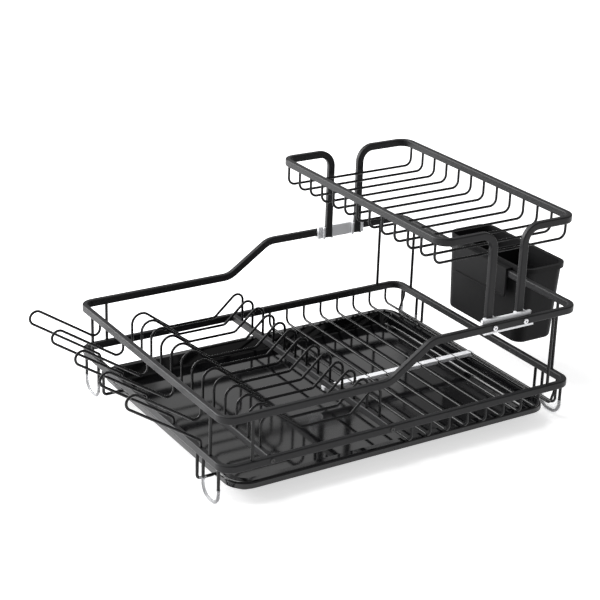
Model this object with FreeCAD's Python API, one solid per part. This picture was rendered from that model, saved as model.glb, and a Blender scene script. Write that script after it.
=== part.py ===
import FreeCAD, Part
import os
import math

# Dish drying rack: a flat-bar base ring and guard rail, plate wires, deck wires, cup loops,
# a raised shelf, a hanging cutlery holder and a drip tray that slides out to the front.
# Millimetres. +X runs along the rack to the cutlery holder, -Y is the front, +Z is up,
# and the origin is on the table under the middle of the overall length.

# ---- base ring and guard rail ----
ring_length = 420.0
ring_depth = 322.0
ring_corner_radius = 16.0
ring_underside_z = 42.0
bar_height = 8.0
bar_thickness = 6.0
bar_edge_radius = 1.4
rail_low_gap = 42.5
rail_rise = 34.0
rail_bend_x = -1.0
rail_bend_run = 50.0
rail_bend_radius = 24.0

# ---- round wires ----
wire_d = 2.8
heavy_wire_d = 3.3

# ---- corner posts ----
post_x = 177.5
post_y = 130.0

# ---- plate wires and their two crossbars ----
crossbar_left_x = -157.0
crossbar_mid_x = -20.0
plate_wire_count = 13
plate_wire_pitch = 22.9
plate_run_height = 10.0
plate_peak_height = 32.5
plate_left_arch_radius = 11.5
plate_right_arch_radius = 7.5
plate_left_run_x = 45.0
plate_right_run_x = 35.5
plate_kink_radius = 6.0

# ---- deck wires and the clear strip below them ----
deck_wire_count = 9
deck_wire_first_x = 5.6
deck_wire_pitch = 23.08
deck_drop = 17.0
deck_bend_radius = 7.0
strip_y = -11.5
strip_width = 7.5
strip_corner_radius = 2.0
strip_above_axis = 1.6
strip_tray_gap = 0.6
strip_fit = 0.05
strip_end_margin = 3.0
strip_start_margin = 11.0

# ---- cup loops ----
cup_count = 5
cup_pitch = 55.7
cup_reach = 79.0
cup_slope = 33.5
cup_wire_gap = 14.8
cup_upper_drop = 17.6
cup_bend_radius = 6.5

# ---- shelf ----
shelf_centre_x = 118.5
shelf_width = 171.0
shelf_top_z = 231.0
shelf_corner_radius = 16.0
shelf_leg_spacing = 39.0
shelf_leg_bend_radius = 16.0
shelf_wire_count = 13
shelf_wire_pitch = 22.8
shelf_wire_drop = 21.0
shelf_wire_bend_radius = 8.0

# ---- clips that hold the shelf legs against the rails ----
clip_length = 62.0
clip_plate = 3.0
clip_above_rail = 3.5
clip_lip = 2.4
clip_leg_cheek = 2.2
clip_fit = 0.1

# ---- screws ----
screw_d = 3.0
screw_head_d = 5.8
screw_head_h = 1.5
screw_socket_across = 2.2
screw_socket_depth = 1.0
screw_fit = 0.1
leg_screw_bite = 4.5
crossbar_screw_d = 3.0
crossbar_screw_head_d = 4.6
crossbar_screw_head_h = 0.9
crossbar_screw_bite = 8.0

# ---- feet ----
foot_y = 131.5
foot_leg_spacing = 30.0
foot_bend_radius = 12.0
boot_height = 21.0
boot_thickness = 7.0
boot_side_wall = 1.7
boot_sole = 2.0
boot_corner_radius = 11.0
boot_edge_radius = 1.0

# ---- wires that carry the drip tray ----
support_y = 104.5
support_bend_radius = 4.0
support_axis_z = 13.0
support_inboard = 20.0

# ---- wire rail beside the tray at the holder end ----
side_rail_end_y = 141.0
side_rail_top_inset = 1.2
side_rail_neck = 6.0
side_rail_inset = 8.0
side_rail_bend_radius = 4.0
side_rail_fit = 0.05

# ---- drip tray ----
tray_fit = 0.4
tray_rim_clearance = 1.4
tray_end_overhang = 2.0
tray_front_y = -150.5
tray_back_y = 150.5
tray_wall = 1.8
tray_flange = 9.0
tray_floor_z = 6.5
tray_taper = 5.0
tray_corner_radius = 22.0
tray_floor_edge_radius = 5.0
tray_edge_radius = 2.8

# ---- cutlery holder ----
holder_length = 141.0
holder_width = 57.0
holder_height = 89.0
holder_foot_radius = 4.0
holder_rim_above_bar = 6.0
holder_wall = 2.0
holder_taper_x = 4.0
holder_taper_y = 5.0
holder_corner_radius = 13.0
holder_lip = 2.5
holder_lip_height = 5.0
holder_fit = 0.4
holder_hook_length = 87.0
holder_hook_shift = -4.5
holder_hook_rib = 1.2
holder_hook_plate = 2.0
holder_hook_drop = 33.0
holder_partition_shift = 6.0
holder_partition_drop = 3.0
drain_hole_d = 5.0
drain_hole_rows = 2
drain_hole_columns = 4

# ---- values that follow from the ones above ----
V = FreeCAD.Vector
ring_axis_z = ring_underside_z + bar_height / 2
ring_top_z = ring_underside_z + bar_height
rail_low_z = ring_top_z + rail_low_gap + bar_height / 2
rail_high_z = rail_low_z + rail_rise
rail_high_top = rail_high_z + bar_height / 2
bar_x = ring_length / 2 - bar_thickness / 2
bar_y = ring_depth / 2 - bar_thickness / 2
bar_inner_x = ring_length / 2 - bar_thickness
bar_inner_y = ring_depth / 2 - bar_thickness
wire_r = wire_d / 2
heavy_r = heavy_wire_d / 2
deck_axis_z = ring_underside_z - deck_drop
shelf_outer_y = bar_inner_y - clip_plate
shelf_bar_y = shelf_outer_y - bar_thickness / 2
shelf_axis_z = shelf_top_z - bar_height / 2
centre_x = (holder_fit + holder_width + holder_lip + bar_thickness / 2 - cup_reach) / 2
tray_lip_z = support_axis_z + heavy_r + tray_fit
tray_top_z = deck_axis_z - wire_r - tray_rim_clearance


def unit(v):
    return V(v).normalize()


def round_face(centre, direction, diameter):
    edge = Part.makeCircle(diameter / 2, centre, direction)
    return Part.Face(Part.Wire(edge))


def bar_face(centre, direction, tall, height, thickness, edge):
    """Rounded rectangle across `direction`, `height` along `tall` and `thickness` across it."""
    t = unit(tall)
    s = unit(direction).cross(t)
    a = height / 2
    b = thickness / 2
    e = edge
    k = e * (1 - math.sqrt(0.5))
    corners = [(1, 1), (-1, 1), (-1, -1), (1, -1)]
    edges = []
    ends = []
    for ca, cb in corners:
        along_t = centre + t * (ca * a) + s * (cb * (b - e))
        along_s = centre + t * (ca * (a - e)) + s * (cb * b)
        middle = centre + t * (ca * (a - k)) + s * (cb * (b - k))
        first, last = (along_t, along_s) if ca * cb > 0 else (along_s, along_t)
        edges.append(Part.Arc(first, middle, last).toShape())
        ends.append((first, last))
    for i in range(4):
        edges.append(Part.LineSegment(ends[i][1], ends[(i + 1) % 4][0]).toShape())
    return Part.Face(Part.Wire(Part.__sortEdges__(edges)))


def bend_points(points, radii, closed=False):
    """Straights and bends of a path: each straight's two ends, and each bend's centre and axis."""
    n = len(points)
    trims = [0.0] * n
    bends = [None] * n
    inner = range(n) if closed else range(1, n - 1)
    for i in inner:
        before = unit(points[i] - points[i - 1])
        after = unit(points[(i + 1) % n] - points[i])
        angle = before.getAngle(after)
        axis = before.cross(after).normalize()
        trims[i] = radii[i] * math.tan(angle / 2)
        start = points[i] - before * trims[i]
        centre = start + axis.cross(before) * radii[i]
        bends[i] = (centre, axis, math.degrees(angle))
    legs = []
    for i in range(n if closed else n - 1):
        j = (i + 1) % n
        d = unit(points[j] - points[i])
        legs.append((points[i] + d * trims[i], points[j] - d * trims[j], d, bends[j]))
    return legs


def bent(points, radii, profile, tall=None, closed=False):
    """One bent rod or bar along a path. profile(centre, direction, tall) gives its section."""
    if not isinstance(radii, (list, tuple)):
        radii = [radii] * len(points)
    solids = []
    t = tall
    for start, end, d, bend in bend_points(points, radii, closed):
        length = (end - start).dot(d)
        if length > 1e-4:
            solids.append(profile(start, d, t).extrude(d * length))
        if bend is not None:
            centre, axis, angle = bend
            solids.append(profile(end, d, t).revolve(centre, axis, angle))
            if t is not None:
                t = FreeCAD.Rotation(axis, angle).multVec(t)
    shape = solids[0].multiFuse(solids[1:]) if len(solids) > 1 else solids[0]
    shape = shape.removeSplitter()
    return shape.Solids[0] if len(shape.Solids) == 1 else shape


def wire_profile(diameter):
    def profile(centre, direction, tall):
        return round_face(centre, direction, diameter)
    return profile


def flat_bar_profile(centre, direction, tall):
    return bar_face(centre, direction, tall, bar_height, bar_thickness, bar_edge_radius)


def rounded_plate(x0, x1, y0, y1, z, radius):
    """Flat face with rounded corners, level at z."""
    pts = [V(x0, y0, z), V(x1, y0, z), V(x1, y1, z), V(x0, y1, z)]
    edges = []
    for start, end, d, bend in bend_points(pts, [radius] * 4, closed=True):
        centre, axis, angle = bend
        turn = FreeCAD.Rotation(axis, angle / 2).multVec(end - centre)
        last = FreeCAD.Rotation(axis, angle).multVec(end - centre)
        edges.append(Part.LineSegment(start, end).toShape())
        edges.append(Part.Arc(end, centre + turn, centre + last).toShape())
    return Part.Wire(edges)


def tapered_block(low, high):
    """Solid between two rounded outlines (x0, x1, y0, y1, z, radius)."""
    return Part.makeLoft([rounded_plate(*low), rounded_plate(*high)], True, True)


def box(x0, x1, y0, y1, z0, z1):
    return Part.makeBox(x1 - x0, y1 - y0, z1 - z0, V(x0, y0, z0))


def save(name, shape):
    placed = shape.copy()
    placed.translate(V(-centre_x, 0, 0))
    placed.exportStep("parts/" + name + ".step")


def spread(count, pitch):
    return [(i - (count - 1) / 2) * pitch for i in range(count)]


# ---------------------------------------------------------------- frame bars

def ring_corners(z):
    return [V(-bar_x, -bar_y, z), V(bar_x, -bar_y, z), V(bar_x, bar_y, z), V(-bar_x, bar_y, z)]


def corner_axis_radius(outer_radius):
    return outer_radius - bar_thickness / 2


def y_hole(x, z, y0, y1, diameter):
    return Part.makeCylinder(diameter / 2, abs(y1 - y0), V(x, min(y0, y1), z), V(0, 1, 0))


def leg_xs():
    return [shelf_centre_x - shelf_leg_spacing / 2, shelf_centre_x + shelf_leg_spacing / 2]


def lower_ring():
    radius = corner_axis_radius(ring_corner_radius)
    shape = bent(ring_corners(ring_axis_z), radius, flat_bar_profile, V(0, 0, 1), True)
    for x in (crossbar_left_x, crossbar_mid_x):
        for side in (-1, 1):
            hole = y_hole(x, ring_axis_z, side * (bar_inner_y - 1), side * (ring_depth / 2 + 1),
                          crossbar_screw_d + 2 * screw_fit)
            shape = shape.cut(hole)
    return shape


def upper_rail():
    low_x = rail_bend_x - rail_bend_run / 2
    high_x = rail_bend_x + rail_bend_run / 2
    pts = [V(-bar_x, -bar_y, rail_low_z), V(low_x, -bar_y, rail_low_z),
           V(high_x, -bar_y, rail_high_z), V(bar_x, -bar_y, rail_high_z),
           V(bar_x, bar_y, rail_high_z), V(high_x, bar_y, rail_high_z),
           V(low_x, bar_y, rail_low_z), V(-bar_x, bar_y, rail_low_z)]
    c = corner_axis_radius(ring_corner_radius)
    b = rail_bend_radius
    shape = bent(pts, [c, b, b, c, c, b, b, c], flat_bar_profile, V(0, 0, 1), True)
    for x in leg_xs():
        for side in (-1, 1):
            hole = y_hole(x, rail_high_z, side * (bar_inner_y - 1), side * (ring_depth / 2 + 1),
                          screw_d + 2 * screw_fit)
            shape = shape.cut(hole)
    return shape


def corner_posts():
    posts = []
    for sx in (-1, 1):
        rail_z = (rail_low_z if sx < 0 else rail_high_z) - bar_height / 2
        for sy in (-1, 1):
            for x, y in ((sx * post_x, sy * bar_y), (sx * bar_x, sy * post_y)):
                posts.append(Part.makeCylinder(heavy_r, rail_z - ring_top_z, V(x, y, ring_top_z)))
    return Part.makeCompound(posts)


def crossbar(x):
    half = bar_inner_y
    shape = flat_bar_profile(V(x, -half, ring_axis_z), V(0, 1, 0), V(0, 0, 1))
    shape = shape.extrude(V(0, 2 * half, 0))
    for side in (-1, 1):
        hole = y_hole(x, ring_axis_z, side * (half - crossbar_screw_bite - 1), side * (half + 1),
                      crossbar_screw_d)
        shape = shape.cut(hole)
    return shape


def screw(x, y, z, side, diameter, head_d, head_h, grip):
    """Round-headed screw whose head seats at y and whose shank runs inward by `grip`."""
    inward = V(0, -side, 0)
    head = Part.makeCylinder(head_d / 2, head_h, V(x, y + side * head_h, z), inward)
    shank = Part.makeCylinder(diameter / 2, grip + head_h / 2, V(x, y + side * head_h / 2, z), inward)
    shape = head.fuse(shank).removeSplitter()
    rim = [e for e in shape.Edges if abs(e.BoundBox.YMin - (y + side * head_h)) < 1e-3
           and abs(e.BoundBox.YMax - (y + side * head_h)) < 1e-3]
    shape = shape.makeFillet(head_h * 0.45, rim)
    socket = Part.makePolygon([
        V(x + screw_socket_across / math.sqrt(3) * math.cos(math.radians(60 * i)), y + side * head_h,
          z + screw_socket_across / math.sqrt(3) * math.sin(math.radians(60 * i)))
        for i in range(7)])
    return shape.cut(Part.Face(socket).extrude(inward * min(screw_socket_depth, head_h * 0.7)))


def crossbar_screws():
    out = []
    for x in (crossbar_left_x, crossbar_mid_x):
        for side in (-1, 1):
            out.append(screw(x, side * ring_depth / 2, ring_axis_z, side, crossbar_screw_d,
                             crossbar_screw_head_d, crossbar_screw_head_h,
                             bar_thickness + crossbar_screw_bite))
    return Part.makeCompound(out)


def rail_screws():
    out = []
    for x in leg_xs():
        for side in (-1, 1):
            out.append(screw(x, side * ring_depth / 2, rail_high_z, side, screw_d, screw_head_d,
                             screw_head_h, bar_thickness + clip_plate + leg_screw_bite))
    return Part.makeCompound(out)


# ---------------------------------------------------------------- wires

def plate_wire(y):
    """Arch on the left crossbar, level run, sloped leg up to the arch on the middle crossbar."""
    foot_z = ring_top_z
    run_z = ring_top_z + plate_run_height
    peak_z = ring_top_z + plate_peak_height
    run0 = crossbar_left_x + plate_left_run_x
    run1 = crossbar_mid_x - plate_right_run_x

    def arch_corner(leg_x, radius, kink_x):
        # the slope from the kink touches the arch, whose top is at the peak height
        sign = 1 if kink_x > leg_x else -1
        cx = leg_x + sign * radius
        dx = abs(cx - kink_x)
        dz = peak_z - radius - run_z
        slope = math.atan2(dz, dx) + math.asin(radius / math.hypot(dx, dz))
        return V(leg_x, y, run_z + abs(kink_x - leg_x) * math.tan(slope))

    pts = [V(crossbar_left_x, y, foot_z),
           arch_corner(crossbar_left_x, plate_left_arch_radius, run0),
           V(run0, y, run_z), V(run1, y, run_z),
           arch_corner(crossbar_mid_x, plate_right_arch_radius, run1),
           V(crossbar_mid_x, y, foot_z)]
    radii = [0, plate_left_arch_radius, plate_kink_radius, plate_kink_radius,
             plate_right_arch_radius, 0]
    return bent(pts, radii, wire_profile(wire_d))


def deck_xs():
    return [deck_wire_first_x + i * deck_wire_pitch for i in range(deck_wire_count)]


def deck_wire(x):
    pts = [V(x, bar_y, ring_underside_z), V(x, bar_y, deck_axis_z),
           V(x, -bar_y, deck_axis_z), V(x, -bar_y, ring_underside_z)]
    return bent(pts, deck_bend_radius, wire_profile(wire_d))


def deck_support_strip():
    top = deck_axis_z + strip_above_axis
    xs = deck_xs()
    x0 = crossbar_mid_x + bar_thickness / 2 + strip_start_margin
    x1 = xs[-1] + strip_end_margin
    y0 = strip_y - strip_width / 2
    y1 = strip_y + strip_width / 2
    shape = box(x0, x1, y0, y1, tray_top_z + strip_tray_gap, top)
    upright = [e for e in shape.Edges if abs(e.Vertexes[0].Z - e.Vertexes[1].Z) > 1]
    shape = shape.makeFillet(strip_corner_radius, upright)
    for x in xs:
        groove = Part.makeCylinder(wire_r + strip_fit, strip_width + 2, V(x, y0 - 1, deck_axis_z), V(0, 1, 0))
        slot = box(x - wire_r * 0.8, x + wire_r * 0.8, y0 - 1, y1 + 1, deck_axis_z, top + 1)
        shape = shape.cut(groove.fuse(slot))
    return shape


def cup_loop(y):
    """Hairpin that slopes up and out from the end of the rack, from the rail to the ring."""
    rail_z = rail_low_z - bar_height / 2
    slope = math.radians(cup_slope)
    out = V(-math.cos(slope), 0, math.sin(slope))
    across = V(-math.sin(slope), 0, -math.cos(slope))
    upper_z = rail_z - cup_upper_drop
    lower_z = upper_z - cup_wire_gap / math.cos(slope)
    upper = V(-bar_x, y, upper_z)
    lower = V(-bar_x, y, lower_z)
    r = cup_wire_gap / 2
    tip_x = cup_reach - wire_r
    reach = (tip_x - r - across.x * -r) / math.cos(slope) + r
    tip_upper = upper + out * reach
    tip_lower = tip_upper + across * cup_wire_gap
    pts = [V(-bar_x, y, rail_z), upper, tip_upper, tip_lower, lower, V(-bar_x, y, ring_top_z)]
    radii = [0, cup_bend_radius, r, r, cup_bend_radius, 0]
    return bent(pts, radii, wire_profile(wire_d))


def shelf_wire(y):
    z = shelf_axis_z - bar_height / 2
    half = shelf_width / 2 - bar_thickness / 2
    x0 = shelf_centre_x - half
    x1 = shelf_centre_x + half
    pts = [V(x0, y, z), V(x0, y, z - shelf_wire_drop), V(x1, y, z - shelf_wire_drop), V(x1, y, z)]
    return bent(pts, shelf_wire_bend_radius, wire_profile(wire_d))


# ---------------------------------------------------------------- shelf

def shelf_bar(side):
    """Bent flat bar: leg, bend outward, corner, long run, corner, bend and the other leg."""
    leg_x = shelf_centre_x + side * shelf_leg_spacing / 2
    run_x = shelf_centre_x + side * (shelf_width / 2 - bar_thickness / 2)
    foot_z = rail_high_z - bar_height / 2
    y = shelf_bar_y
    pts = [V(leg_x, -y, foot_z), V(leg_x, -y, shelf_axis_z), V(run_x, -y, shelf_axis_z),
           V(run_x, y, shelf_axis_z), V(leg_x, y, shelf_axis_z), V(leg_x, y, foot_z)]
    c = corner_axis_radius(shelf_corner_radius)
    radii = [0, shelf_leg_bend_radius, c, c, shelf_leg_bend_radius, 0]
    shape = bent(pts, radii, flat_bar_profile, V(1, 0, 0))
    for s in (-1, 1):
        hole = y_hole(leg_x, rail_high_z, s * (shelf_outer_y - leg_screw_bite - 0.5),
                      s * (shelf_outer_y + 1), screw_d)
        shape = shape.cut(hole)
    return shape


def shelf_clip(side):
    """Clear holder between rail and legs: back plate, lip under the rail, cheeks beside the legs."""
    x0 = shelf_centre_x - clip_length / 2
    x1 = shelf_centre_x + clip_length / 2
    z0 = rail_high_z - bar_height / 2 - clip_lip
    z1 = rail_high_top + clip_above_rail
    y_rail = bar_inner_y
    y_leg = shelf_outer_y
    y_in = shelf_outer_y - bar_thickness * 0.6
    plate = box(x0, x1, y_leg, y_rail, z0, z1)
    lip = box(x0, x1, y_leg, ring_depth / 2 - bar_edge_radius, z0, z0 + clip_lip)
    shape = plate.fuse(lip)
    for x in leg_xs():
        half = bar_height / 2 + clip_fit
        for s in (-1, 1):
            inner = x + s * half
            outer = inner + s * clip_leg_cheek
            shape = shape.fuse(box(min(inner, outer), max(inner, outer), y_in, y_leg, z0, z1))
    shape = shape.removeSplitter()
    for x in leg_xs():
        shape = shape.cut(y_hole(x, rail_high_z, y_leg - 1, y_rail + 1, screw_d + 2 * screw_fit))
    if side < 0:
        shape = shape.mirror(V(0, 0, 0), V(0, 1, 0))
    return shape


# ---------------------------------------------------------------- feet and tray supports

def foot_outline():
    """Path of one foot wire in the YZ plane, from the ring down and back up."""
    low = boot_sole + heavy_r
    a = foot_y - foot_leg_spacing / 2
    b = foot_y + foot_leg_spacing / 2
    return [V(bar_x, a, ring_underside_z), V(bar_x, a, low), V(bar_x, b, low),
            V(bar_x, b, ring_underside_z)]


def foot_wire():
    return bent(foot_outline(), foot_bend_radius, wire_profile(heavy_wire_d))


def foot_boot():
    half = foot_leg_spacing / 2 + heavy_r + boot_side_wall
    outline = rounded_plate(foot_y - half, foot_y + half, 0, boot_height + boot_corner_radius, 0,
                            boot_corner_radius)
    slab = Part.Face(outline).extrude(V(0, 0, boot_thickness))
    slab = slab.common(box(0, 400, 0, boot_height, -1, boot_thickness + 1))
    # stand the slab up: outline x to Y, outline y to Z, thickness to X
    slab = slab.rotate(V(0, 0, 0), V(1, 1, 1), 120)
    slab = slab.translate(V(bar_x - boot_thickness / 2, 0, 0))
    rims = [e for e in slab.Edges if e.BoundBox.XLength < 1e-3 and e.BoundBox.ZMin > 1]
    slab = slab.makeFillet(boot_edge_radius, [e for e in rims if e.BoundBox.ZLength < 1e-3])
    return slab.cut(foot_wire())


def four_corners(shape):
    copies = []
    for sx in (-1, 1):
        for sy in (-1, 1):
            copy = shape.copy()
            if sx < 0:
                copy = copy.mirror(V(0, 0, 0), V(1, 0, 0))
            if sy < 0:
                copy = copy.mirror(V(0, 0, 0), V(0, 1, 0))
            copies.append(copy)
    return Part.makeCompound(copies)


def tray_support(side):
    """Wire under an end of the ring that carries the tray's turned-down rim."""
    x_out = side * bar_x
    x_in = side * (bar_x - support_inboard)
    z = support_axis_z
    pts = [V(x_out, -support_y, ring_underside_z), V(x_out, -support_y, z), V(x_in, -support_y, z),
           V(x_in, support_y, z), V(x_out, support_y, z), V(x_out, support_y, ring_underside_z)]
    return bent(pts, support_bend_radius, wire_profile(heavy_wire_d))


def tray_side_rail():
    """Wire that hangs from the holder end of the ring and runs beside the tray on the hooks."""
    x_top = bar_x - side_rail_top_inset
    x_low = bar_x - side_rail_inset
    z = support_axis_z + heavy_r + wire_r + side_rail_fit
    y = side_rail_end_y
    neck_z = ring_underside_z - side_rail_neck
    pts = [V(x_top, -y, ring_underside_z), V(x_top, -y, neck_z), V(x_low, -y, z),
           V(x_low, y, z), V(x_top, y, neck_z), V(x_top, y, ring_underside_z)]
    return bent(pts, side_rail_bend_radius, wire_profile(wire_d))


# ---------------------------------------------------------------- drip tray

def drip_tray():
    half = bar_x - support_inboard + heavy_r + tray_end_overhang
    y0 = tray_front_y
    y1 = tray_back_y
    r = tray_corner_radius
    w = tray_wall
    f = tray_flange
    t = tray_taper

    def outline(inset, z, radius):
        return (-half + inset, half - inset, y0 + inset, y1 - inset, z, radius)

    def ring_block(inset, z0, z1, radius):
        return Part.Face(rounded_plate(*outline(inset, z0, radius))).extrude(V(0, 0, z1 - z0))

    body = tapered_block(outline(f - w + t, tray_floor_z, r - f - t + w), outline(f - w, tray_top_z, r - f + w))
    floor_edges = [e for e in body.Edges if e.BoundBox.ZMax < tray_floor_z + 1e-3]
    body = body.makeFillet(tray_floor_edge_radius, floor_edges)
    skirt = ring_block(0, tray_lip_z, tray_top_z, r)
    skirt = skirt.cut(ring_block(w, tray_lip_z - 1, tray_top_z - w, r - w))
    top_edges = [e for e in skirt.Edges if e.BoundBox.ZMin > tray_top_z - 1e-3]
    skirt = skirt.makeFillet(tray_edge_radius, top_edges)
    shape = skirt.fuse(body)
    hollow = tapered_block(outline(f + t, tray_floor_z + w, r - f - t),
                           outline(f, tray_top_z, r - f))
    hollow_edges = [e for e in hollow.Edges if e.BoundBox.ZMax < tray_floor_z + w + 1e-3]
    hollow = hollow.makeFillet(tray_floor_edge_radius - w, hollow_edges)
    lid = ring_block(f, tray_top_z - 0.01, tray_top_z + 2, r - f)
    return shape.cut(hollow.fuse(lid)).removeSplitter()


# ---------------------------------------------------------------- cutlery holder

def cutlery_holder():
    x0 = ring_length / 2 + holder_fit
    x1 = x0 + holder_width
    half = holder_length / 2
    top = rail_high_top + holder_rim_above_bar
    low = top - holder_height
    w = holder_wall
    r = holder_corner_radius
    tx = holder_taper_x
    ty = holder_taper_y

    def outline(inset, z, share):
        return (x0 + inset, x1 - inset - tx * share, -half + inset + ty * share,
                half - inset - ty * share, z, r - inset)

    outer = tapered_block(outline(0, low, 1.0), outline(0, top, 0.0))
    foot_edges = [e for e in outer.Edges if e.BoundBox.ZMax < low + 1e-3]
    outer = outer.makeFillet(holder_foot_radius, foot_edges)
    lip = Part.Face(rounded_plate(x0, x1 + holder_lip, -half - holder_lip, half + holder_lip,
                                  top - holder_lip_height, r + holder_lip))
    shape = outer.fuse(lip.extrude(V(0, 0, holder_lip_height)))
    pocket_low = low + w
    share = 1.0 - w / holder_height
    pocket = tapered_block(outline(w, pocket_low, share), outline(w, top + 0.01, 0.0))
    pocket_edges = [e for e in pocket.Edges if e.BoundBox.ZMax < pocket_low + 1e-3]
    pocket = pocket.makeFillet(holder_foot_radius - w, pocket_edges)
    wall_y = holder_partition_shift
    pocket = pocket.cut(box(x0, x1, wall_y - w / 2, wall_y + w / 2, low,
                            top - holder_partition_drop))
    shape = shape.cut(pocket)
    # hook over the rail's end bar, with a plate down its inner side
    hook_top = rail_high_top + holder_fit + holder_hook_plate
    inner_x = bar_inner_x - holder_fit
    y0 = holder_hook_shift - holder_hook_length / 2
    y1 = holder_hook_shift + holder_hook_length / 2
    plate_x = inner_x - holder_hook_plate
    hook_low = hook_top - holder_hook_drop
    bridge = box(plate_x, x0 + w, y0, y1, hook_top - holder_hook_plate, hook_top)
    skirt = box(plate_x, inner_x, y0, y1, hook_low, hook_top)
    rib = box(plate_x - holder_hook_rib, plate_x, y0, y1, hook_low, hook_low + holder_hook_rib)
    shape = shape.fuse([bridge, skirt, rib]).removeSplitter()
    for sy in (-1, 1):
        for row in spread(drain_hole_rows, (holder_width - tx) / (drain_hole_rows + 1)):
            for col in spread(drain_hole_columns, (half - ty) / (drain_hole_columns + 1)):
                hole = Part.makeCylinder(drain_hole_d / 2, w * 3,
                                         V((x0 + x1 - tx) / 2 + row, sy * (half - ty) / 2 + col, low - w))
                shape = shape.cut(hole)
    return shape


def main():
    os.makedirs("parts", exist_ok=True)
    save("lower_ring", lower_ring())
    save("upper_rail", upper_rail())
    save("corner_posts", corner_posts())
    save("plate_crossbar_left", crossbar(crossbar_left_x))
    save("plate_crossbar_mid", crossbar(crossbar_mid_x))
    save("crossbar_screws", crossbar_screws())
    save("rail_screws", rail_screws())
    for i, y in enumerate(reversed(spread(plate_wire_count, plate_wire_pitch))):
        save("plate_wire_%02d" % (i + 1), plate_wire(y))
    for i, x in enumerate(deck_xs()):
        save("deck_wire_%d" % (i + 1), deck_wire(x))
    save("deck_support_strip", deck_support_strip())
    for i, y in enumerate(reversed(spread(cup_count, cup_pitch))):
        save("cup_loop_%d" % (i + 1), cup_loop(y))
    for i, y in enumerate(reversed(spread(shelf_wire_count, shelf_wire_pitch))):
        save("shelf_wire_%02d" % (i + 1), shelf_wire(y))
    save("shelf_bar_left", shelf_bar(-1))
    save("shelf_bar_right", shelf_bar(1))
    save("shelf_clip_front", shelf_clip(-1))
    save("shelf_clip_back", shelf_clip(1))
    save("foot_wires", four_corners(foot_wire()))
    save("foot_boots", four_corners(foot_boot()))
    save("tray_support_left", tray_support(-1))
    save("tray_support_right", tray_support(1))
    save("tray_side_rail", tray_side_rail())
    save("drip_tray", drip_tray())
    save("cutlery_holder", cutlery_holder())


main()
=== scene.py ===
"""Dish drying rack: finishes for its bars, wires and plastics, clear foot sleeves and a studio."""
import math

import bmesh
import bpy
from bpy.props import FloatProperty, FloatVectorProperty, PointerProperty
from mathutils import Matrix, Vector


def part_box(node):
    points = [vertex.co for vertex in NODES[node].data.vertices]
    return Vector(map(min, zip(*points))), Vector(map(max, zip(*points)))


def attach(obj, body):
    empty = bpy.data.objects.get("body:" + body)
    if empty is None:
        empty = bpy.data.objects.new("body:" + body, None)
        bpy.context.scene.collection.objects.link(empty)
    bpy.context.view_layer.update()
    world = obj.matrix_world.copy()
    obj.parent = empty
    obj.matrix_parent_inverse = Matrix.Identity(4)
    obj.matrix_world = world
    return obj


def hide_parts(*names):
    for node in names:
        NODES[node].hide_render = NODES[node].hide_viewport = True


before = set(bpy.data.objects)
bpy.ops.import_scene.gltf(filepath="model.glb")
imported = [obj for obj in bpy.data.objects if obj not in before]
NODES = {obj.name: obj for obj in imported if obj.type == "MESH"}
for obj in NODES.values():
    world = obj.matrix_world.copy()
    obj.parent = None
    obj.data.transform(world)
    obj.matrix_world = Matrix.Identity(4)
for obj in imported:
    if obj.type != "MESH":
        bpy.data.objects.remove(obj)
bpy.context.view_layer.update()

bl_info = {
    "name": "Dish Drying Rack",
    "version": (1, 0, 0),
    "blender": (4, 5, 0),
    "location": "View3D > Sidebar > Dish Rack",
    "description": "Finishes a wire dish rack, adds its clear foot sleeves and lights it in a studio",
    "category": "Object",
}

SHARP_ANGLE = math.radians(40)
PEEL_DEPTH = 0.0001
WHITE = (1.0, 1.0, 1.0, 1.0)


# ---------------------------------------------------------------- settings

def shade(name, text, default):
    return FloatVectorProperty(name=name, description=text, subtype="COLOR", size=3, min=0.0,
                               max=1.0, default=default)


def share(name, text, default):
    return FloatProperty(name=name, description=text, subtype="FACTOR", min=0.0, max=1.0,
                         default=default)


def length(name, text, default):
    return FloatProperty(name=name, description=text, subtype="DISTANCE", unit="LENGTH", min=0.0,
                         default=default)


class RackFinishSettings(bpy.types.PropertyGroup):
    """Colours and gloss of the rack's finishes."""
    bar_colour: shade("Bar colour", "Powder coat on the flat bars", (0.0165, 0.0165, 0.0175))
    bar_roughness: share("Bar roughness", "How satin the flat bars are", 0.40)
    wire_colour: shade("Wire colour", "Coating on the round wires", (0.0045, 0.0045, 0.005))
    wire_roughness: share("Wire roughness", "How satin the round wires are", 0.22)
    tray_colour: shade("Tray colour", "Gloss plastic of the drip tray", (0.003, 0.003, 0.0035))
    tray_roughness: share("Tray roughness", "How mirror-like the drip tray is", 0.07)
    holder_colour: shade("Holder colour", "Moulded plastic of the cutlery holder",
                         (0.0125, 0.0125, 0.013))
    holder_roughness: share("Holder roughness", "How satin the cutlery holder is", 0.42)
    clear_colour: shade("Clear plastic tint", "Tint of the clips, sleeves and strip",
                        (0.965, 0.972, 0.995))
    clear_roughness: share("Clear plastic roughness", "How frosted the clear plastic is", 0.16)
    screw_colour: shade("Screw colour", "Bright plating on the shelf screws", (0.72, 0.72, 0.74))


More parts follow.
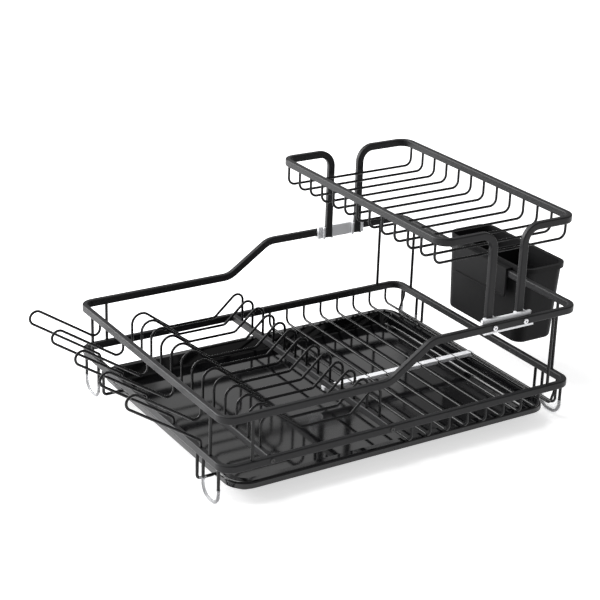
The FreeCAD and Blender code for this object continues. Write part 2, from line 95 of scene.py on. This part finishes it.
class RackSleeveSettings(bpy.types.PropertyGroup):
    """Sizes of the clear sleeves on the feet."""
    sleeve_height: length("Sleeve height", "How far the sleeve climbs each leg", 0.0205)
    sleeve_wall: length("Sleeve wall", "Plastic around the wire", 0.0020)
    wire_radius: length("Wire radius", "Half the thickness of the foot wire", 0.00165)
    wire_clearance: length("Wire clearance", "Room between the wire and the sleeve", 0.00005)
    leg_spacing: length("Leg spacing", "Between the two legs of a foot wire", 0.0300)
    bend_radius: length("Bend radius", "Turn at the bottom of a foot wire", 0.0120)
    sleeve_cover: share("Sleeve cover", "How much the clear sleeve hides what is behind it", 0.16)
    web_thickness: length("Web thickness", "Thin web between the two legs", 0.0022)


class RackStudioSettings(bpy.types.PropertyGroup):
    """Floor, light and camera."""
    floor_colour: shade("Floor colour", "Pale floor", (0.90, 0.90, 0.905))
    floor_glow: FloatProperty(name="Floor glow", description="Light given off by the floor sheet",
                              min=0.0, default=0.60)
    sky_strength: FloatProperty(name="Sky strength", description="Even light from all around",
                                min=0.0, default=0.33)
    key_power: FloatProperty(name="Key power", description="Soft light from above and behind",
                             subtype="POWER", unit="POWER", min=0.0, default=30.0)
    side_power: FloatProperty(name="Side power", description="Low soft light at the cup loop end",
                              subtype="POWER", unit="POWER", min=0.0, default=55.0)
    back_power: FloatProperty(name="Back power", description="Faint panel that the tray mirrors",
                              subtype="POWER", unit="POWER", min=0.0, default=1.1)
    lens: FloatProperty(name="Lens", description="Focal length", subtype="DISTANCE_CAMERA",
                        min=1.0, default=97.4)


# ---------------------------------------------------------------- shader groups

def group_socket(group, kind, name, direction, default=None):
    item = group.interface.new_socket(name=name, in_out=direction, socket_type=kind)
    if default is not None:
        item.default_value = default
    return item


def coat_grain_group():
    """Orange peel of a coating, with a slow drift in its gloss and shade."""
    found = bpy.data.node_groups.get("coat_grain")
    if found:
        return found
    group = bpy.data.node_groups.new("coat_grain", "ShaderNodeTree")
    group_socket(group, "NodeSocketFloat", "Peel Scale", "INPUT", 900.0)
    group_socket(group, "NodeSocketFloat", "Drift Scale", "INPUT", 18.0)
    group_socket(group, "NodeSocketFloat", "Gloss Spread", "INPUT", 0.08)
    group_socket(group, "NodeSocketFloat", "Gloss", "INPUT", 0.35)
    group_socket(group, "NodeSocketColor", "Colour", "INPUT", (0.03, 0.03, 0.03, 1.0))
    group_socket(group, "NodeSocketColor", "Worn Colour", "INPUT", (0.06, 0.06, 0.06, 1.0))
    group_socket(group, "NodeSocketColor", "Colour", "OUTPUT")
    group_socket(group, "NodeSocketFloat", "Roughness", "OUTPUT")
    group_socket(group, "NodeSocketFloat", "Height", "OUTPUT")
    n = group.nodes
    links = group.links
    given = n.new("NodeGroupInput")
    out = n.new("NodeGroupOutput")
    place = n.new("ShaderNodeTexCoord")
    peel = n.new("ShaderNodeTexNoise")
    peel.inputs["Detail"].default_value = 2.0
    drift = n.new("ShaderNodeTexNoise")
    drift.inputs["Detail"].default_value = 4.0
    drift.inputs["Roughness"].default_value = 0.6
    for noise, scale in ((peel, "Peel Scale"), (drift, "Drift Scale")):
        links.new(place.outputs["Object"], noise.inputs["Vector"])
        links.new(given.outputs[scale], noise.inputs["Scale"])
    centred = n.new("ShaderNodeMath")
    centred.operation = "SUBTRACT"
    centred.inputs[1].default_value = 0.5
    links.new(drift.outputs["Fac"], centred.inputs[0])
    spread = n.new("ShaderNodeMath")
    spread.operation = "MULTIPLY"
    links.new(centred.outputs[0], spread.inputs[0])
    links.new(given.outputs["Gloss Spread"], spread.inputs[1])
    rough = n.new("ShaderNodeMath")
    rough.operation = "ADD"
    rough.use_clamp = True
    links.new(given.outputs["Gloss"], rough.inputs[0])
    links.new(spread.outputs[0], rough.inputs[1])
    links.new(rough.outputs[0], out.inputs["Roughness"])
    worn = n.new("ShaderNodeMapRange")
    worn.inputs["From Min"].default_value = 0.52
    worn.inputs["From Max"].default_value = 0.80
    worn.inputs["To Max"].default_value = 0.55
    links.new(drift.outputs["Fac"], worn.inputs["Value"])
    mix = n.new("ShaderNodeMix")
    mix.data_type = "RGBA"
    links.new(worn.outputs["Result"], mix.inputs["Factor"])
    links.new(given.outputs["Colour"], mix.inputs["A"])
    links.new(given.outputs["Worn Colour"], mix.inputs["B"])
    links.new(mix.outputs["Result"], out.inputs["Colour"])
    links.new(peel.outputs["Fac"], out.inputs["Height"])
    return group


def water_marks_group():
    """Faint dried-water rings and wiped streaks, as a mask."""
    found = bpy.data.node_groups.get("water_marks")
    if found:
        return found
    group = bpy.data.node_groups.new("water_marks", "ShaderNodeTree")
    group_socket(group, "NodeSocketFloat", "Ring Scale", "INPUT", 34.0)
    group_socket(group, "NodeSocketFloat", "Streak Scale", "INPUT", 9.0)
    group_socket(group, "NodeSocketFloat", "Mask", "OUTPUT")
    n = group.nodes
    links = group.links
    given = n.new("NodeGroupInput")
    out = n.new("NodeGroupOutput")
    place = n.new("ShaderNodeTexCoord")
    cells = n.new("ShaderNodeTexVoronoi")
    links.new(place.outputs["Object"], cells.inputs["Vector"])
    links.new(given.outputs["Ring Scale"], cells.inputs["Scale"])
    ring = n.new("ShaderNodeMapRange")
    ring.inputs["From Min"].default_value = 0.10
    ring.inputs["From Max"].default_value = 0.16
    links.new(cells.outputs["Distance"], ring.inputs["Value"])
    edge = n.new("ShaderNodeMath")
    edge.operation = "PINGPONG"
    edge.inputs[1].default_value = 0.5
    links.new(ring.outputs["Result"], edge.inputs[0])
    stretch = n.new("ShaderNodeMapping")
    stretch.inputs["Scale"].default_value = (0.25, 1.6, 1.0)
    stretch.inputs["Rotation"].default_value = (0.0, 0.0, 0.35)
    links.new(place.outputs["Object"], stretch.inputs["Vector"])
    streak = n.new("ShaderNodeTexNoise")
    streak.inputs["Detail"].default_value = 5.0
    links.new(stretch.outputs["Vector"], streak.inputs["Vector"])
    links.new(given.outputs["Streak Scale"], streak.inputs["Scale"])
    soft = n.new("ShaderNodeMapRange")
    soft.inputs["From Min"].default_value = 0.45
    soft.inputs["From Max"].default_value = 0.75
    links.new(streak.outputs["Fac"], soft.inputs["Value"])
    both = n.new("ShaderNodeMath")
    both.operation = "ADD"
    both.use_clamp = True
    links.new(edge.outputs[0], both.inputs[0])
    links.new(soft.outputs["Result"], both.inputs[1])
    links.new(both.outputs[0], out.inputs["Mask"])
    return group


def new_material(name):
    material = bpy.data.materials.new(name)
    material.use_nodes = True
    return material, material.node_tree, material.node_tree.nodes["Principled BSDF"]


def add_bump(tree, height, normal, strength, distance):
    bump = tree.nodes.new("ShaderNodeBump")
    bump.inputs["Strength"].default_value = strength
    bump.inputs["Distance"].default_value = distance
    tree.links.new(height, bump.inputs["Height"])
    tree.links.new(bump.outputs["Normal"], normal)


def coated(name, colour, worn, roughness, peel, strength, spread=0.08, drift=18.0, specular=0.5):
    """A coating with its own grain, gloss drift and slightly paler rubbed areas."""
    material, tree, shader = new_material(name)
    grain = tree.nodes.new("ShaderNodeGroup")
    grain.node_tree = coat_grain_group()
    grain.inputs["Peel Scale"].default_value = peel
    grain.inputs["Drift Scale"].default_value = drift
    grain.inputs["Gloss Spread"].default_value = spread
    grain.inputs["Gloss"].default_value = roughness
    grain.inputs["Colour"].default_value = (*colour, 1.0)
    grain.inputs["Worn Colour"].default_value = (*worn, 1.0)
    tree.links.new(grain.outputs["Colour"], shader.inputs["Base Color"])
    tree.links.new(grain.outputs["Roughness"], shader.inputs["Roughness"])
    shader.inputs["Specular IOR Level"].default_value = specular
    add_bump(tree, grain.outputs["Height"], shader.inputs["Normal"], strength, PEEL_DEPTH)
    return material


def bar_material(settings):
    colour = tuple(settings.bar_colour)
    worn = tuple(c * 1.5 for c in colour)
    return coated("satin_black_bar", colour, worn, settings.bar_roughness, peel=1100.0,
                  strength=0.25, specular=0.19)


def wire_material(settings):
    colour = tuple(settings.wire_colour)
    worn = tuple(c * 1.7 for c in colour)
    return coated("smooth_black_wire", colour, worn, settings.wire_roughness, peel=1500.0,
                  strength=0.12, drift=30.0, specular=0.25)


def holder_material(settings):
    colour = tuple(settings.holder_colour)
    worn = tuple(c * 1.35 for c in colour)
    return coated("moulded_black_holder", colour, worn, settings.holder_roughness, peel=2200.0,
                  strength=0.35, spread=0.1, drift=12.0, specular=0.07)


def dark_screw_material():
    return coated("black_oxide_screw", (0.02, 0.02, 0.02), (0.05, 0.05, 0.05), 0.34, peel=2500.0,
                  strength=0.1)


def tray_material(settings):
    material, tree, shader = new_material("gloss_black_tray")
    marks = tree.nodes.new("ShaderNodeGroup")
    marks.node_tree = water_marks_group()
    rough = tree.nodes.new("ShaderNodeMapRange")
    rough.inputs["To Min"].default_value = settings.tray_roughness
    rough.inputs["To Max"].default_value = settings.tray_roughness + 0.07
    tree.links.new(marks.outputs["Mask"], rough.inputs["Value"])
    tree.links.new(rough.outputs["Result"], shader.inputs["Roughness"])
    grain = tree.nodes.new("ShaderNodeGroup")
    grain.node_tree = coat_grain_group()
    grain.inputs["Peel Scale"].default_value = 70.0
    grain.inputs["Colour"].default_value = (*settings.tray_colour, 1.0)
    grain.inputs["Worn Colour"].default_value = (*(c * 1.6 for c in settings.tray_colour), 1.0)
    tree.links.new(grain.outputs["Colour"], shader.inputs["Base Color"])
    shader.inputs["Specular IOR Level"].default_value = 0.42
    add_bump(tree, grain.outputs["Height"], shader.inputs["Normal"], 0.02, 0.0003)
    return material


def clear_material(settings, name, transmission, bending=1.40, cover=1.0):
    """Faintly blue plastic. Bending is its refractive index, cover how much it hides."""
    material, tree, shader = new_material(name)
    grain = tree.nodes.new("ShaderNodeGroup")
    grain.node_tree = coat_grain_group()
    grain.inputs["Peel Scale"].default_value = 420.0
    grain.inputs["Gloss"].default_value = settings.clear_roughness
    grain.inputs["Colour"].default_value = (*settings.clear_colour, 1.0)
    grain.inputs["Worn Colour"].default_value = (*(c * 0.94 for c in settings.clear_colour), 1.0)
    tree.links.new(grain.outputs["Colour"], shader.inputs["Base Color"])
    tree.links.new(grain.outputs["Roughness"], shader.inputs["Roughness"])
    shader.inputs["Transmission Weight"].default_value = transmission
    shader.inputs["IOR"].default_value = bending
    shader.inputs["Alpha"].default_value = cover
    add_bump(tree, grain.outputs["Height"], shader.inputs["Normal"], 0.12, 0.0002)
    return material


def bright_screw_material(settings):
    """Turned bright head, whose axis runs along Y: fine noise varies its roughness and tone."""
    material, tree, shader = new_material("bright_screw")
    shader.inputs["Metallic"].default_value = 1.0
    place = tree.nodes.new("ShaderNodeTexCoord")
    rings = tree.nodes.new("ShaderNodeTexNoise")
    rings.inputs["Scale"].default_value = 2600.0
    tree.links.new(place.outputs["Object"], rings.inputs["Vector"])
    rough = tree.nodes.new("ShaderNodeMapRange")
    rough.inputs["To Min"].default_value = 0.16
    rough.inputs["To Max"].default_value = 0.34
    tree.links.new(rings.outputs["Fac"], rough.inputs["Value"])
    tree.links.new(rough.outputs["Result"], shader.inputs["Roughness"])
    tone = tree.nodes.new("ShaderNodeMix")
    tone.data_type = "RGBA"
    tone.inputs["A"].default_value = (*settings.screw_colour, 1.0)
    tone.inputs["B"].default_value = (*(c * 0.8 for c in settings.screw_colour), 1.0)
    tree.links.new(rings.outputs["Fac"], tone.inputs["Factor"])
    tree.links.new(tone.outputs["Result"], shader.inputs["Base Color"])
    return material


def finish_nodes(prefixes, material):
    """Gives every CAD node whose name starts with one of the prefixes this finish."""
    done = 0
    for name, obj in NODES.items():
        if name.startswith(prefixes):
            obj.data.materials.clear()
            obj.data.materials.append(material)
            done += 1
    if not done:
        raise RuntimeError("no node starts with " + ", ".join(prefixes))


# ---------------------------------------------------------------- operators

class RACK_OT_finish_bars(bpy.types.Operator):
    """Satin powder coat on the ring, the rail, the crossbars and the shelf bars"""
    bl_idname = "rack.finish_bars"
    bl_label = "Finish Bars"

    def execute(self, context):
        material = bar_material(context.scene.rack_finish)
        finish_nodes(("lower_ring", "upper_rail", "plate_crossbar", "shelf_bar"), material)
        return {"FINISHED"}


class RACK_OT_finish_wires(bpy.types.Operator):
    """Smooth black coating on every round wire, post and foot wire"""
    bl_idname = "rack.finish_wires"
    bl_label = "Finish Wires"

    def execute(self, context):
        material = wire_material(context.scene.rack_finish)
        finish_nodes(("plate_wire", "deck_wire", "cup_loop", "shelf_wire", "corner_posts",
                      "foot_wires", "tray_support", "tray_side_rail"), material)
        return {"FINISHED"}


class RACK_OT_finish_screws(bpy.types.Operator):
    """Bright plating on the shelf screws and black oxide on the crossbar screws"""
    bl_idname = "rack.finish_screws"
    bl_label = "Finish Screws"

    def execute(self, context):
        finish_nodes(("rail_screws",), bright_screw_material(context.scene.rack_finish))
        finish_nodes(("crossbar_screws",), dark_screw_material())
        return {"FINISHED"}


class RACK_OT_finish_clear_plastic(bpy.types.Operator):
    """Clear plastic on the shelf clips and the strip under the deck wires"""
    bl_idname = "rack.finish_clear_plastic"
    bl_label = "Finish Clear Plastic"

    def execute(self, context):
        settings = context.scene.rack_finish
        finish_nodes(("shelf_clip",), clear_material(settings, "clear_clip", 0.12))
        finish_nodes(("deck_support_strip",), clear_material(settings, "milky_strip", 0.15))
        return {"FINISHED"}


class RACK_OT_finish_tray(bpy.types.Operator):
    """Mirror gloss with faint water marks on the drip tray"""
    bl_idname = "rack.finish_tray"
    bl_label = "Finish Tray"

    def execute(self, context):
        finish_nodes(("drip_tray",), tray_material(context.scene.rack_finish))
        return {"FINISHED"}


class RACK_OT_finish_holder(bpy.types.Operator):
    """Fine moulded grain on the cutlery holder"""
    bl_idname = "rack.finish_holder"
    bl_label = "Finish Holder"

    def execute(self, context):
        finish_nodes(("cutlery_holder",), holder_material(context.scene.rack_finish))
        return {"FINISHED"}


class RACK_OT_foot_sleeves(bpy.types.Operator):
    """Clear sleeve round each U-shaped foot wire, with a thin web between its legs"""
    bl_idname = "rack.foot_sleeves"
    bl_label = "Foot Sleeves"

    def execute(self, context):
        settings = context.scene.rack_sleeves
        low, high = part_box("foot_wires")
        wire_r = settings.wire_radius
        leg_x = high.x - wire_r
        mid_x = (low.x + high.x) / 2
        outer_y = high.y - wire_r
        legs = (outer_y - settings.leg_spacing, outer_y)
        bend = settings.bend_radius
        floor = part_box("foot_boots")[0].z
        tube_r = wire_r + settings.sleeve_wall
        path_z = floor + tube_r
        top = floor + settings.sleeve_height
        bm = bmesh.new()
        self.sleeve(bm, leg_x, legs, bend, path_z, top, tube_r,
                    wire_r + settings.wire_clearance)
        self.web(bm, leg_x, legs, bend, path_z, top, wire_r, settings.web_thickness)
        centre = Vector((mid_x, 0, 0))
        for normal in (Vector((1, 0, 0)), Vector((0, 1, 0))):
            geometry = bm.verts[:] + bm.edges[:] + bm.faces[:]
            copy = bmesh.ops.duplicate(bm, geom=geometry)["geom"]
            verts = [v for v in copy if isinstance(v, bmesh.types.BMVert)]
            faces = [f for f in copy if isinstance(f, bmesh.types.BMFace)]
            for v in verts:
                v.co -= 2 * (v.co - centre).dot(normal) * normal
            bmesh.ops.reverse_faces(bm, faces=faces)
        mesh = bpy.data.meshes.new("foot_sleeves")
        bmesh.ops.recalc_face_normals(bm, faces=bm.faces[:])
        bm.to_mesh(mesh)
        bm.free()
        for polygon in mesh.polygons:
            polygon.use_smooth = True
        mesh.set_sharp_from_angle(angle=SHARP_ANGLE)
        piece = bpy.data.objects.new("foot_sleeves", mesh)
        context.scene.collection.objects.link(piece)
        mesh.materials.append(clear_material(context.scene.rack_finish, "clear_sleeve", 0.0,
                                             bending=1.45, cover=settings.sleeve_cover))
        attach(piece, "frame")
        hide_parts("foot_boots")
        return {"FINISHED"}

    @staticmethod
    def sleeve(bm, x, legs, bend, low, top, outer, inner):
        """Tube swept down one leg, round the two bends and up the other, hollow for the wire."""
        shells = []
        for radius in (outer, inner):
            ring = bmesh.ops.create_circle(bm, segments=20, radius=radius,
                                           matrix=Matrix.Translation((x, legs[0], top)))["verts"]
            rim = [e for e in bm.edges if all(v in ring for v in e.verts)]
            start = rim
            rim = RACK_OT_foot_sleeves.run(bm, rim, Vector((0, 0, low + bend - top)))
            rim = RACK_OT_foot_sleeves.turn(bm, rim, Vector((x, legs[0] + bend, low + bend)))
            rim = RACK_OT_foot_sleeves.run(bm, rim, Vector((0, legs[1] - legs[0] - 2 * bend, 0)))
            rim = RACK_OT_foot_sleeves.turn(bm, rim, Vector((x, legs[1] - bend, low + bend)))
            rim = RACK_OT_foot_sleeves.run(bm, rim, Vector((0, 0, top - low - bend)))
            shells.append((start, rim))
        for outer_rim, inner_rim in zip(*shells):
            bmesh.ops.bridge_loops(bm, edges=outer_rim + inner_rim)

    @staticmethod
    def run(bm, rim, offset):
        """Straight stretch of the sleeve: extrudes the rim by the offset, returns the new rim."""
        out = bmesh.ops.extrude_edge_only(bm, edges=rim)["geom"]
        verts = [g for g in out if isinstance(g, bmesh.types.BMVert)]
        bmesh.ops.translate(bm, verts=verts, vec=offset)
        return [g for g in out if isinstance(g, bmesh.types.BMEdge) and
                all(v in verts for v in g.verts)]

    @staticmethod
    def turn(bm, rim, centre):
        """Quarter turn of the sleeve about the X axis through the centre, returns the new rim."""
        out = bmesh.ops.spin(bm, geom=rim, cent=centre, axis=(1, 0, 0), angle=math.pi / 2,
                             steps=8, use_merge=False, use_duplicate=False)["geom_last"]
        return [g for g in out if isinstance(g, bmesh.types.BMEdge)]

    @staticmethod
    def web(bm, x, legs, bend, low, top, wire_r, thickness):
        """Thin plate that fills the U between the legs, with its lower corners rounded."""
        inset = wire_r * 0.9
        y0 = legs[0] + inset
        y1 = legs[1] - inset
        z0 = low + inset
        made = bmesh.ops.create_cube(bm, size=1.0)["verts"]
        bmesh.ops.scale(bm, verts=made, vec=(thickness, y1 - y0, top - z0))
        bmesh.ops.translate(bm, verts=made, vec=(x, (y0 + y1) / 2, (top + z0) / 2))
        edges = {e for v in made for e in v.link_edges}
        lower = [e for e in edges if all(v.co.z < z0 + 1e-6 for v in e.verts)
                 and abs(e.verts[0].co.x - e.verts[1].co.x) > thickness / 2]
        corner = bend * 0.86
        bmesh.ops.bevel(bm, geom=lower, offset=corner, offset_type="OFFSET", segments=8,
                        profile=0.5, affect="EDGES", material=-1)


class RACK_OT_studio(bpy.types.Operator):
    """Pale floor, soft lights and the camera"""
    bl_idname = "rack.studio"
    bl_label = "Studio"

    def execute(self, context):
        settings = context.scene.rack_studio
        self.floor(context, settings)
        self.sky(context, settings)
        self.soft_light(context, "key_light", (-0.55, 0.85, 1.75), (0.05, 0.0, 0.0), 1.3,
                        settings.key_power)
        self.soft_light(context, "side_light", (-1.25, 1.35, 0.80), (-0.45, 0.35, 0.0), 1.2,
                        settings.side_power)
        self.soft_light(context, "back_light", (1.65, 2.75, 1.60), (0.0, 0.0, 0.0), 0.8,
                        settings.back_power)
        self.camera(context, settings)
        return {"FINISHED"}

    @staticmethod
    def floor(context, settings):
        """Large flat sheet that gives off a little light, so that shadows stay faint."""
        bm = bmesh.new()
        bmesh.ops.create_grid(bm, x_segments=2, y_segments=2, size=20.0)
        mesh = bpy.data.meshes.new("floor")
        bm.to_mesh(mesh)
        bm.free()
        material, tree, shader = new_material("pale_floor")
        shader.inputs["Base Color"].default_value = (*settings.floor_colour, 1.0)
        shader.inputs["Roughness"].default_value = 0.6
        shader.inputs["Specular IOR Level"].default_value = 0.15
        shader.inputs["Emission Color"].default_value = WHITE
        shader.inputs["Emission Strength"].default_value = settings.floor_glow
        mesh.materials.append(material)
        floor = bpy.data.objects.new("floor", mesh)
        context.scene.collection.objects.link(floor)

    @staticmethod
    def sky(context, settings):
        """Dim light from all around, behind a white backdrop that only the camera sees."""
        world = bpy.data.worlds.new("studio_sky")
        world.use_nodes = True
        tree = world.node_tree
        light = tree.nodes["Background"]
        light.inputs["Strength"].default_value = settings.sky_strength
        backdrop = tree.nodes.new("ShaderNodeBackground")
        path = tree.nodes.new("ShaderNodeLightPath")
        mix = tree.nodes.new("ShaderNodeMixShader")
        for background in (light, backdrop):
            background.inputs["Color"].default_value = WHITE
        tree.links.new(path.outputs["Is Camera Ray"], mix.inputs["Fac"])
        tree.links.new(light.outputs["Background"], mix.inputs[1])
        tree.links.new(backdrop.outputs["Background"], mix.inputs[2])
        tree.links.new(mix.outputs["Shader"], tree.nodes["World Output"].inputs["Surface"])
        context.scene.world = world
        context.scene.view_settings.view_transform = "Standard"

    @staticmethod
    def soft_light(context, name, place, target, size, power):
        """Square soft light at a place, aimed at a target."""
        light = bpy.data.lights.new(name, "AREA")
        light.shape = "SQUARE"
        light.size = size
        light.energy = power
        lamp = bpy.data.objects.new(name, light)
        lamp.location = place
        lamp.rotation_euler = (Vector(target) - Vector(place)).to_track_quat("-Z", "Y").to_euler()
        context.scene.collection.objects.link(lamp)

    @staticmethod
    def camera(context, settings):
        """Looks down at the rack from the front left, with a slight roll."""
        place = Vector((-0.8561, -1.3179, 0.7671))
        azimuth = math.radians(-32.28)
        elevation = math.radians(21.55)
        roll = math.radians(1.88)
        back = Vector((math.sin(azimuth) * math.cos(elevation),
                       -math.cos(azimuth) * math.cos(elevation), math.sin(elevation)))
        level = Vector((0, 0, 1)).cross(back).normalized()
        rise = back.cross(level)
        right = level * math.cos(roll) + rise * math.sin(roll)
        up = back.cross(right)
        data = bpy.data.cameras.new("camera")
        data.lens = settings.lens
        data.sensor_width = 36.0
        data.shift_y = -0.037
        eye = bpy.data.objects.new("camera", data)
        turn = Matrix((right, up, back)).transposed()
        eye.matrix_world = Matrix.Translation(place) @ turn.to_4x4()
        context.scene.collection.objects.link(eye)
        context.scene.camera = eye


STEPS = (RACK_OT_finish_bars, RACK_OT_finish_wires, RACK_OT_finish_screws,
         RACK_OT_finish_clear_plastic, RACK_OT_finish_tray, RACK_OT_finish_holder,
         RACK_OT_foot_sleeves, RACK_OT_studio)


class RACK_PT_panel(bpy.types.Panel):
    """Lists the rack's settings and the steps that make it"""
    bl_idname = "RACK_PT_panel"
    bl_label = "Dish Rack"
    bl_space_type = "VIEW_3D"
    bl_region_type = "UI"
    bl_category = "Dish Rack"

    def draw(self, context):
        column = self.layout.column()
        for group in (context.scene.rack_finish, context.scene.rack_sleeves,
                      context.scene.rack_studio):
            for name in group.__annotations__:
                column.prop(group, name)
            column.separator()
        for step in STEPS:
            column.operator(step.bl_idname)


CLASSES = (RackFinishSettings, RackSleeveSettings, RackStudioSettings) + STEPS + (RACK_PT_panel,)


def register():
    for cls in CLASSES:
        bpy.utils.register_class(cls)
    bpy.types.Scene.rack_finish = PointerProperty(type=RackFinishSettings)
    bpy.types.Scene.rack_sleeves = PointerProperty(type=RackSleeveSettings)
    bpy.types.Scene.rack_studio = PointerProperty(type=RackStudioSettings)


def unregister():
    for name in ("rack_finish", "rack_sleeves", "rack_studio"):
        delattr(bpy.types.Scene, name)
    for cls in reversed(CLASSES):
        bpy.utils.unregister_class(cls)


def main():
    register()
    bpy.ops.rack.finish_bars()
    bpy.ops.rack.finish_wires()
    bpy.ops.rack.finish_screws()
    bpy.ops.rack.finish_clear_plastic()
    bpy.ops.rack.finish_tray()
    bpy.ops.rack.finish_holder()
    bpy.ops.rack.foot_sleeves()
    bpy.ops.rack.studio()


if __name__ == "__main__":
    main()
